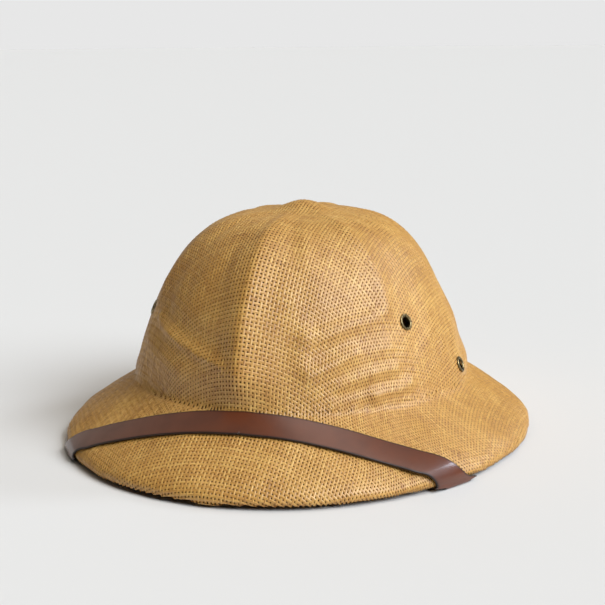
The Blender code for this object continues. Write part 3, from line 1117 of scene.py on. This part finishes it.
@dataclass
class StrawShell:
    """Crown and brim: woven strands over a pressed inner layer."""

    table: SurfaceTable
    weave: DrapedWeave
    eyelets: Sequence[VentEyelet]
    fill: float = 0.69
    width_spread: float = 0.05
    least_width: float = 0.4
    least_end: float = 0.15
    crest: float = 0.40 * MM
    flank: float = 0.34 * MM
    swing: float = 0.16 * MM
    backing_drop: float = 0.75 * MM
    hem: float = 7 * MM
    hem_run_out: float = 3 * MM
    turned_edge: float = 2.6 * MM
    vent_radius: float = 3.6 * MM
    vent_depth: float = 10 * MM
    vent_play: float = 0.05 * MM
    vent_sides: int = 32
    rim_points: int = 9
    backing_turns: int = 240
    backing_rows: int = 110
    backing_crowding: tuple[float, float] = (0.65, 1.15)
    seed: int = 7

    def inside(self, x: Array, y: Array) -> Array:
        """How far places lie within the cloth, below 0 past its hem or in a vent."""
        left = self.table.at_turn(self.table.edge_run, x, y) + self.hem - np.hypot(x, y)
        places = self.table.pick(self.table.shown, x, y)
        for eyelet in self.eyelets:
            turn = eyelet.place(self.table)
            axis, middle = np.array(turn.col[2][:3]), np.array(turn.col[3][:3])
            off = places - middle
            deep = off @ axis
            away = np.sqrt(np.maximum((off**2).sum(-1) - deep**2, 0))
            away = np.where(np.abs(deep) < self.vent_depth, away, 1.0)
            left = np.minimum(left, away - self.vent_radius)
        return left

    def spacing(self, family: Family) -> Array:
        """Clear distance between neighbouring strands at every crossing."""
        places = self.table.pick(self.table.shown, self.weave.x, self.weave.y)
        by_warp, by_weft = np.gradient(places, axis=0), np.gradient(places, axis=1)
        area = np.linalg.norm(np.cross(by_warp, by_weft), axis=-1)
        along = by_weft if family is Family.WARP else by_warp
        return area / np.maximum(np.linalg.norm(along, axis=-1), 1e-9)

    def strands(self, family: Family, finish: VarnishedPaperStraw) -> bpy.types.Object:
        """Builds all strands that run one way.

        Args:
            family: Which way they run.
            finish: Their straw.

        Returns:
            One piece holding the strands, each a closed body.
        """
        random = np.random.default_rng(self.seed + (family is Family.WEFT))
        x, y, apart = self.weave.x, self.weave.y, self.spacing(family)
        # One family passes over at every second crossing, and the other one at the rest
        over = (np.add.outer(np.arange(x.shape[0]), np.arange(x.shape[1])) % 2).astype(float)
        room = np.where(self.weave.sound, self.inside(x, y), -1 * MM)
        if family is Family.WEFT:
            x, y, apart, room, over = x.T, y.T, apart.T, room.T, 1 - over.T
        pitch = self.weave.warp_pitch if family is Family.WARP else self.weave.weft_pitch
        points, faces, numbers, lengths, sides = [], [], [], [], []
        count = 0
        for strand in range(x.shape[0]):
            own = 1 + self.width_spread * random.standard_normal()
            for start, stop in self.stretches(room[strand] > 0):
                line = self.stretch(x[strand], y[strand], room[strand], start, stop)
                if len(line) < 3:
                    continue
                spots = np.clip(line[:, 2], 0, x.shape[1] - 1)
                level = np.interp(spots, np.arange(x.shape[1]), over[strand])
                width = np.interp(spots, np.arange(x.shape[1]), apart[strand])
                width = np.clip(width, self.least_width * pitch, pitch) * self.fill * own
                body, along = self.strand_body(line[:, 0], line[:, 1], level, width)
                steps = len(line)
                points.append(body.reshape(-1, 3))
                faces += grid_faces(steps, 3, True, count)
                last = count + 3 * (steps - 1)
                faces += [(count + 2, count + 1, count), (last, last + 1, last + 2)]
                numbers.append(np.full(3 * steps, strand + 0.5))
                lengths.append(np.repeat(along, 3))
                sides.append((np.array([[-0.5, 0.0, 0.5]]) * width[:, None]).ravel())
                count += 3 * steps
        values = {
            "strand": np.concatenate(numbers),
            "along": np.concatenate(lengths),
            "across": np.concatenate(sides),
        }
        name = f"straw_{family.value}"
        piece = mesh_piece(name, np.concatenate(points), faces, finish.material(family), values)
        self.crisp_borders(piece)
        return piece

    @staticmethod
    def crisp_borders(piece: bpy.types.Object) -> None:
        """Keeps the two long borders of every strand sharp, so that only its top is shaded round."""
        mesh = piece.data
        ends = np.zeros(2 * len(mesh.edges), np.int32)
        mesh.edges.foreach_get("vertices", ends)
        corner = ends.reshape(-1, 2) % 3
        border = (corner[:, 0] == corner[:, 1]) & (corner[:, 0] != 1)
        store = mesh.attributes.new("sharp_edge", "BOOLEAN", "EDGE")
        store.data.foreach_set("value", border)

    @staticmethod
    def stretches(inside: Array) -> list[tuple[int, int]]:
        """First and last crossing of each unbroken stretch that lies within the cloth."""
        change = np.flatnonzero(np.diff(np.concatenate([[0], inside.astype(int), [0]])))
        return [(int(a), int(b) - 1) for a, b in zip(change[::2], change[1::2])]

    def stretch(self, x: Array, y: Array, room: Array, start: int, stop: int) -> Array:
        """Flattened places and crossing numbers of a stretch, carried on to where the cloth ends.

        Args:
            x: Flattened places of the strand's crossings.
            y: The same, lengthways.
            room: How far each lies within the cloth.
            start: First crossing within it.
            stop: Last crossing within it.

        Returns:
            Rows of x, y and crossing number.
        """
        spots = list(np.arange(start, stop + 1, dtype=float))
        for inner, outer, at_start in ((start, start - 1, True), (stop, stop + 1, False)):
            if 0 <= outer < len(x):
                share = room[inner] / max(room[inner] - room[outer], 1e-9)
                if share > self.least_end:
                    spots.insert(0 if at_start else len(spots), inner + share * (outer - inner))
        spots = np.array(spots)
        numbers = np.arange(len(x))
        return np.stack([np.interp(spots, numbers, x), np.interp(spots, numbers, y), spots], -1)

    def strand_body(self, x: Array, y: Array, level: Array, width: Array) -> tuple[Array, Array]:
        """Places round a strand: two edges with its rounded top between them.

        Args:
            x: Flattened places along it.
            y: The same, lengthways.
            level: 1 where it passes over and 0 where it passes under.
            width: Its width.

        Returns:
            Places by station and corner, and the length along it.
        """
        middle = self.table.pick(self.table.shown, x, y)
        normal = unit(self.table.pick(self.table.normal, x, y))
        ahead = unit(np.gradient(middle, axis=0))
        beside = unit(np.cross(normal, ahead))
        top = (2 * level - 1) * self.swing + self.crest / 2
        half, edge = beside * (width / 2)[:, None], normal * (top - self.flank)[:, None]
        corners = [middle - half + edge, middle + normal * top[:, None], middle + half + edge]
        return np.stack(corners, 1), run_along(middle)

    def backing(self, finish: PressedStrawBacking) -> bpy.types.Object:
        """Builds the pressed layer under the strands, a closed shell with its vents cut.

        Args:
            finish: Its straw.

        Returns:
            The layer, which stands for the solid shell.
        """
        table, wall, drop = self.table, self.table.form.wall, self.backing_drop
        count, (crowded, power) = self.backing_turns, self.backing_crowding
        angle = np.radians(np.arange(count) * 360 / count)
        rim = table.at_turn(table.rim_run, np.sin(angle), np.cos(angle))
        share = np.linspace(0, 1, self.backing_rows)[1:]
        share = share * (1 - crowded) + crowded * (1 - (1 - share) ** power)
        rows, inner = [], []
        # The layer is thinner under the hem, where strands lie on its inner face too
        for part in share:
            x, y = rim * part * np.sin(angle), rim * part * np.cos(angle)
            place = table.pick(table.shown, x, y)
            normal = unit(table.pick(table.normal, x, y))
            rows.append(place - normal * drop)
            past_hem = smooth_step((1 - part) * rim, self.hem, self.hem + self.hem_run_out)
            depth = wall - drop * (1 - past_hem)
            inner.append(place - normal * depth[:, None])
        # A half round joins the two faces along the rim
        middle, half = (rows[-1] + inner[-1]) / 2, (rows[-1] - inner[-1]) / 2
        down = np.array([0.0, 0.0, -1.0]) * np.linalg.norm(half, axis=1, keepdims=True)
        arc = [
            middle + half * math.cos(part) + down * math.sin(part)
            for part in np.linspace(0, math.pi, self.rim_points)[1:-1]
        ]
        rows = rows + arc + inner[::-1]
        top, under = (table.shown[0, 0] - (0, 0, depth) for depth in (drop, wall))
        points = np.concatenate([*rows, [top, under]])
        faces = [face[::-1] for face in grid_faces(len(rows), count, True)]
        last = (len(rows) - 1) * count
        for place in range(count):
            beside = (place + 1) % count
            faces.append((place, beside, len(points) - 2))
            faces.append((last + beside, last + place, len(points) - 1))
        piece = mesh_piece("straw_backing", points, faces, finish.material(False))
        piece.data.materials.append(finish.material(True))
        self.cut_vents(piece)
        self.dress_inside(piece)
        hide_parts("straw_shell")
        return piece

    def cut_vents(self, piece: bpy.types.Object) -> None:
        """Cuts the vent holes through the pressed layer."""
        build = bmesh.new()
        for eyelet in self.eyelets:
            radius = eyelet.barrel / 2 + self.vent_play
            bmesh.ops.create_cone(
                build,
                cap_ends=True,
                segments=self.vent_sides,
                radius1=radius,
                radius2=radius,
                depth=8 * self.table.form.wall,
                matrix=eyelet.place(self.table),
            )
        mesh = bpy.data.meshes.new("vent_punch")
        build.to_mesh(mesh)
        build.free()
        punch = new_object("vent_punch", mesh)
        cut = piece.modifiers.new("vents", "BOOLEAN")
        cut.operation, cut.solver, cut.object = "DIFFERENCE", "EXACT", punch
        shapes = bpy.context.evaluated_depsgraph_get()
        made = bpy.data.meshes.new_from_object(piece.evaluated_get(shapes))
        piece.modifiers.clear()
        piece.data = made
        bpy.data.objects.remove(punch, do_unlink=True)

    def dress_inside(self, piece: bpy.types.Object) -> None:
        """Gives the faces towards the head and the turned edge their own finish."""
        mesh, form = piece.data, self.table.form
        middle = np.array([0, form.middle_y, form.join_height])
        centres, normals = np.zeros(3 * len(mesh.polygons)), np.zeros(3 * len(mesh.polygons))
        mesh.polygons.foreach_get("center", centres)
        mesh.polygons.foreach_get("normal", normals)
        centres, normals = centres.reshape(-1, 3), normals.reshape(-1, 3)
        inward = ((centres - middle) * normals).sum(1) < 0
        azimuth = np.degrees(np.arctan2(centres[:, 0], form.middle_y - centres[:, 1]))
        edge = centres[:, 2] < form.rim_level(azimuth) + self.turned_edge
        mesh.polygons.foreach_set("material_index", (inward | edge).astype(np.int32))


@dataclass
class ChinStrap:
    """A flat leather band laid over the brim and round its edge, up the inside of the crown."""

    form: HatForm
    width: float = 0.0160
    thickness: float = 0.0016
    stand_off: float = 0.00045
    turn: float = 2.9
    bend: float = 0.0070
    skew_start: float = 27.0 * MM
    skew_end: float = 4.0 * MM
    arch_rise: float = 1.8 * MM
    arch_start: float = 30.0 * MM
    arch_top: float = 11.0 * MM
    arch_end: float = 1.0 * MM
    rim_round: float = 0.98
    wall_share: float = 0.34
    step: float = 0.9 * MM
    fine_step: float = 0.2 * MM
    slope_reach: float = 0.15 * MM
    guide_step: float = 0.1
    brim_points: int = 60
    ahead_points: int = 40
    course_points: int = 120
    hidden_points: int = 100
    edge_round: float = 0.45 * MM
    face_parts: tuple[float, ...] = (0.46, 0.40, 0.15, -0.15, -0.40, -0.46)
    edge_from: float = 0.45
    course_azimuths: tuple[float, ...] = (0, 10, 20, 30, 40, 45.6, 49.4)
    course_shares: tuple[float, ...] = (0.165, 0.195, 0.280, 0.415, 0.612, 0.775, 1.0)
    hidden_azimuths: tuple[float, ...] = (49.4, 55.0, 62.0, 68.5, 72.0)
    hidden_runs: tuple[float, ...] = (0.0, 0.018, 0.040, 0.063, 0.080)
    guides: dict[float, tuple[Array, Array, float]] = field(default_factory=dict)

    def guide(self, azimuth: float) -> tuple[Array, Array, float]:
        """The band's path at one azimuth, over the brim, round the rim and up inside.

        Args:
            azimuth: Where round the hat.

        Returns:
            Its radii and heights, their runs from the rim, and its length over the brim.
        """
        form, lift = self.form, self.stand_off + self.thickness / 2
        radius, height = form.brim_profile(azimuth, np.linspace(0, 1, self.brim_points))
        slope_out, slope_down = np.gradient(radius), np.gradient(height)
        shift = lift / np.hypot(slope_out, slope_down)
        over = np.stack([radius - slope_down * shift, height + slope_out * shift], -1)
        edge, rim = float(form.brim_radius(azimuth)), float(form.rim_level(azimuth))
        inner, level = form.crown_profile(azimuth, np.array([0.0, self.wall_share]))
        inner = inner - form.wall - 2 * lift
        # The lip, the two corners under the edge, and the foot and the end of the run up inside
        corners = (
            over[-1],
            np.array([edge + lift, rim - lift]),
            np.array([edge - form.wall - lift, rim - lift]),
            np.array([inner[0], level[0] - 2 * form.wall]),
            np.array([inner[1], level[1]]),
        )
        small = self.rim_round * lift
        path = np.concatenate([over[:-1], self.rounded_path(corners, (small, small, self.bend))])
        run = run_along(path)
        top = run[len(over)]
        return path, run - top, top

    @staticmethod
    def rounded_path(corners: Sequence[Array], radii: Sequence[float]) -> Array:
        """Points along a line of corners in a plane, each inner corner rounded."""
        points = [corners[0]]
        for before, corner, after, radius in zip(corners, corners[1:], corners[2:], radii):
            back, onward = unit(before - corner), unit(after - corner)
            half = math.acos(float(np.clip(back @ onward, -1, 1))) / 2
            centre = corner + unit(back + onward) * radius / math.sin(half)
            first = corner + back * radius / math.tan(half) - centre
            last = corner + onward * radius / math.tan(half) - centre
            sweep = math.pi - 2 * half
            for part in np.linspace(0, 1, 13):
                swing = math.sin((1 - part) * sweep) * first + math.sin(part * sweep) * last
                points.append(centre + swing / math.sin(sweep))
        points.append(corners[-1])
        return np.array(points)

    def place(self, azimuth: float, run: float, lift: float) -> Array:
        """A place on the band for an azimuth, a run from the rim and a height over its middle."""
        key = round(azimuth / self.guide_step) * self.guide_step
        if key not in self.guides:
            self.guides[key] = self.guide(key)
        path, along, _ = self.guides[key]
        radius, height = np.interp(run, along, path[:, 0]), np.interp(run, along, path[:, 1])
        if lift:
            behind, ahead = (
                [np.interp(run + step, along, path[:, k]) for k in (0, 1)]
                for step in (-self.slope_reach, self.slope_reach)
            )
            slope = unit(np.subtract(ahead, behind))
            radius, height = radius - slope[1] * lift, height + slope[0] * lift
        return self.form.placed(azimuth, radius, height)

    def brim_length(self, azimuth: float, share: float, points: int) -> float:
        """Length over the brim at one azimuth, from a height share to the lip."""
        radius, height = self.form.brim_profile(azimuth, np.linspace(share, 1, points))
        return float(np.sum(np.hypot(np.diff(radius), np.diff(height))))

    def half(self, side: int) -> list[tuple[float, float]]:
        """Azimuths and runs of the middle line, from the band's middle to its end on one side."""
        line = []
        for azimuth in np.linspace(0, self.course_azimuths[-1], self.course_points):
            share = min(float(smooth_line(self.course_azimuths, self.course_shares, azimuth)), 1.0)
            actual = self.turn + side * azimuth
            over = self.brim_length(actual, share, self.ahead_points)
            whole = self.brim_length(actual, 0, self.brim_points)
            line.append((actual, -over * self.guide(actual)[2] / whole))
        for run in np.linspace(0, self.hidden_runs[-1], self.hidden_points)[1:]:
            azimuth = float(smooth_line(self.hidden_runs, self.hidden_azimuths, run))
            line.append((self.turn + side * azimuth, run))
        return line

    def arch(self, azimuth: float, run: float) -> float:
        """How far the stiff band stands off where it bends down to the rim on the wearer's left."""
        rise = smooth_step(run, -self.arch_start, -self.arch_top) * (azimuth > 0)
        return float(self.arch_rise * rise * (1 - smooth_step(run, -self.arch_top, -self.arch_end)))

    def section(self) -> list[tuple[float, float, float]]:
        """The band's rounded section: share across, height share and how near to an edge it is."""
        half, tall, soft = self.width / 2, self.thickness / 2, self.edge_round
        points = []
        for side_x, side_z, start in ((1, -1, -90), (1, 1, 0), (-1, 1, 90), (-1, -1, 180)):
            for angle in np.radians(np.linspace(start, start + 90, 4)):
                x = side_x * (half - soft) + soft * math.cos(angle)
                z = side_z * (tall - soft) + soft * math.sin(angle)
                points.append((x / self.width, z, 1.0))
            if side_x * side_z > 0:
                for part in self.face_parts:
                    near = 0.5 if abs(part) > self.edge_from else 0.0
                    points.append((part * side_z, side_z * tall, near))
        return points

    def build(self, finish: BurnishedLeather) -> bpy.types.Object:
        """Builds the band.

        Args:
            finish: Its leather.

        Returns:
            The strap, which stands for the solid one.
        """
        # The two halves join to one middle line, which is then cut in short even steps
        coarse = np.array(self.half(-1)[::-1][:-1] + self.half(1))
        middle = np.array([self.place(azimuth, run, 0) for azimuth, run in coarse])
        length = run_along(middle)
        fine = np.arange(0, length[-1], self.fine_step)
        line = np.stack([np.interp(fine, length, coarse[:, k]) for k in (0, 1)], -1)
        radii = np.interp(fine, length, np.hypot(middle[:, 0], middle[:, 1] - self.form.middle_y))
        ahead = np.radians(np.gradient(line[:, 0])) * radii
        onward = np.gradient(line[:, 1])
        squares = np.stack([-onward, ahead], -1) / np.hypot(ahead, onward)[:, None]
        section = self.section()
        stations = np.arange(0, len(fine), int(round(self.step / self.fine_step)))
        stations = np.append(stations[:-1], len(fine) - 1)
        # A section is square to the band, and turns along the rim as the band comes up to it
        points = []
        for station in stations:
            (azimuth, run), square = line[station], squares[station]
            skew = float(smooth_step(run, -self.skew_start, -self.skew_end))
            across = square * (1 - skew) + np.array([math.copysign(1, square[0]), 0]) * skew
            across = across / (across @ square) * self.width
            arch = self.arch(azimuth, run)
            for part, lift, _ in section:
                turn = math.degrees(part * across[0] / radii[station])
                points.append(self.place(azimuth + turn, run + part * across[1], lift + arch))
        points, count = np.array(points), len(section)
        faces = grid_faces(len(stations), count, True)
        last = (len(stations) - 1) * count
        faces += [list(range(count))[::-1], [last + place for place in range(count)]]
        values = {"edge": np.tile([row[2] for row in section], len(stations))}
        piece = mesh_piece("chin_strap_leather", points, faces, finish.material(), values)
        build = bmesh.new()
        build.from_mesh(piece.data)
        bmesh.ops.recalc_face_normals(build, faces=build.faces)
        build.to_mesh(piece.data)
        build.free()
        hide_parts("chin_strap")
        LOG.info("chin_strap: %.3f m long", length[-1])
        return piece


@dataclass(frozen=True)
class Lamp:
    """A far light, by its strength, its spread in degrees, its colour and where it stands."""

    name: str
    strength: float
    spread: float
    colour: tuple[float, float, float]
    azimuth: float
    elevation: float


@dataclass
class Studio:
    """Floor, light and camera."""

    form: HatForm
    azimuth: float = 18.1017
    elevation: float = 14.5942
    roll: float = -0.4609
    distance: float = 0.818625
    focal_pixels: float = 1272.8
    frame_pixels: float = 605.0
    aim_x: float = 303.4953
    aim_y: float = 367.0473
    sensor: float = 36.0
    horizon: float = 0.80
    fill: float = 0.03
    horizon_band: tuple[float, float] = (0.03, 0.09)
    floor_radius: float = 40.0
    lamp_distance: float = 1.5
    lamp_target: tuple[float, float, float] = (0.0, 0.0, 0.08)
    lamps: tuple[Lamp, ...] = (
        Lamp("key", 2.95, 34, (0.94, 1.02, 1.13), 73, 36),
        Lamp("top", 1.15, 50, (1.0, 0.96, 0.90), 80, 66),
        Lamp("back", 0.55, 90, (1.0, 0.93, 0.82), -135, 30),
        Lamp("glint", 0.6, 13, (0.85, 0.95, 1.1), 125, 34),
    )

    def camera(self) -> bpy.types.Object:
        """Sets the camera at the photo's angle.

        Returns:
            The camera.
        """
        turn, roll = math.radians(self.azimuth), math.radians(self.roll)
        back = direction(self.azimuth, self.elevation)
        right = Vector((math.cos(turn), math.sin(turn), 0))
        up = back.cross(right)
        right, up = (
            right * math.cos(roll) + up * math.sin(roll),
            up * math.cos(roll) - right * math.sin(roll),
        )
        # The middle of the hat is seen beside the middle of the picture, by a tilt and a pan
        centre = self.frame_pixels / 2
        tilt = math.atan((self.aim_y - centre) / self.focal_pixels)
        pan = math.atan((self.aim_x - centre) / self.focal_pixels)
        axis = back * math.cos(tilt) - up * math.sin(tilt)
        up = up * math.cos(tilt) + back * math.sin(tilt)
        axis, side = (
            axis * math.cos(pan) - right * math.sin(pan),
            right * math.cos(pan) + axis * math.sin(pan),
        )
        data = bpy.data.cameras.new("camera")
        data.sensor_width = self.sensor
        data.lens = self.focal_pixels / self.frame_pixels * self.sensor
        camera = new_object("camera", data)
        facing = Matrix((side, up, axis)).transposed().to_4x4()
        place = Vector((0, self.form.middle_y, self.form.join_height)) + back * self.distance
        camera.matrix_world = Matrix.Translation(place) @ facing
        bpy.context.scene.camera = camera
        return camera

    def floor(self, finish: MattPaper) -> bpy.types.Object:
        """Lays the floor."""
        build = bmesh.new()
        bmesh.ops.create_circle(build, cap_ends=True, segments=96, radius=self.floor_radius)
        mesh = bpy.data.meshes.new("floor")
        build.to_mesh(mesh)
        build.free()
        mesh.materials.append(finish.material())
        floor = new_object("floor", mesh)
        return floor

    def lights(self) -> None:
        """Sets the lights and an even glow, which is brightest along the horizon.

        The key and the broad top light stand on the wearer's left, a wide warm light behind on the
        right, and the narrow one gives the strap its gloss where it bends down.
        """
        for lamp in self.lamps:
            light = bpy.data.lights.new(lamp.name, "SUN")
            light.energy, light.color = lamp.strength, lamp.colour
            light.angle = math.radians(lamp.spread)
            back = direction(lamp.azimuth, lamp.elevation)
            item = new_object(lamp.name, light)
            item.rotation_mode = "QUATERNION"
            item.rotation_quaternion = (-back).to_track_quat("-Z", "Y")
            item.location = Vector(self.lamp_target) + back * self.lamp_distance
        world = bpy.data.worlds.new("studio")
        world.use_nodes = True
        tree = world.node_tree
        way = add_node(tree, "ShaderNodeTexCoord").outputs["Generated"]
        height = add_node(tree, "ShaderNodeSeparateXYZ", inputs={0: way}).outputs["Z"]
        low, high = self.horizon_band
        glow = add_node(
            tree,
            "ShaderNodeMapRange",
            inputs={
                "Value": height,
                "From Min": low,
                "From Max": high,
                "To Min": self.horizon,
                "To Max": self.fill,
            },
        )
        background = tree.nodes["Background"]
        set_inputs(background, {"Strength": glow.outputs[0], "Color": (1.0, 1.0, 1.0, 1.0)})
        bpy.context.scene.world = world

    def build(self) -> None:
        """Builds the whole studio."""
        self.floor(MattPaper())
        self.lights()
        self.camera()
        bpy.context.scene.view_settings.view_transform = "Standard"


def main() -> None:
    """Builds and dresses the hat, then the studio round it."""
    logging.basicConfig(level=logging.INFO, format="%(message)s", stream=sys.stdout)
    form = HatForm()
    table = SurfaceTable(form)
    eyelets = [
        VentEyelet(f"eyelet_{side}_{end}", sign * azimuth, share)
        for side, sign in (("left", 1), ("right", -1))
        for end, azimuth, share in (("front", 58.9, 0.433), ("rear", 88.0, 0.095))
    ]
    shell = StrawShell(table, DrapedWeave(table), eyelets)
    shell.backing(PressedStrawBacking())
    for family in Family:
        shell.strands(family, VarnishedPaperStraw())
    for eyelet in eyelets:
        eyelet.build(table, AgedBrass())
    ChinStrap(form).build(BurnishedLeather())
    Studio(form).build()


if __name__ == "__main__":
    main()
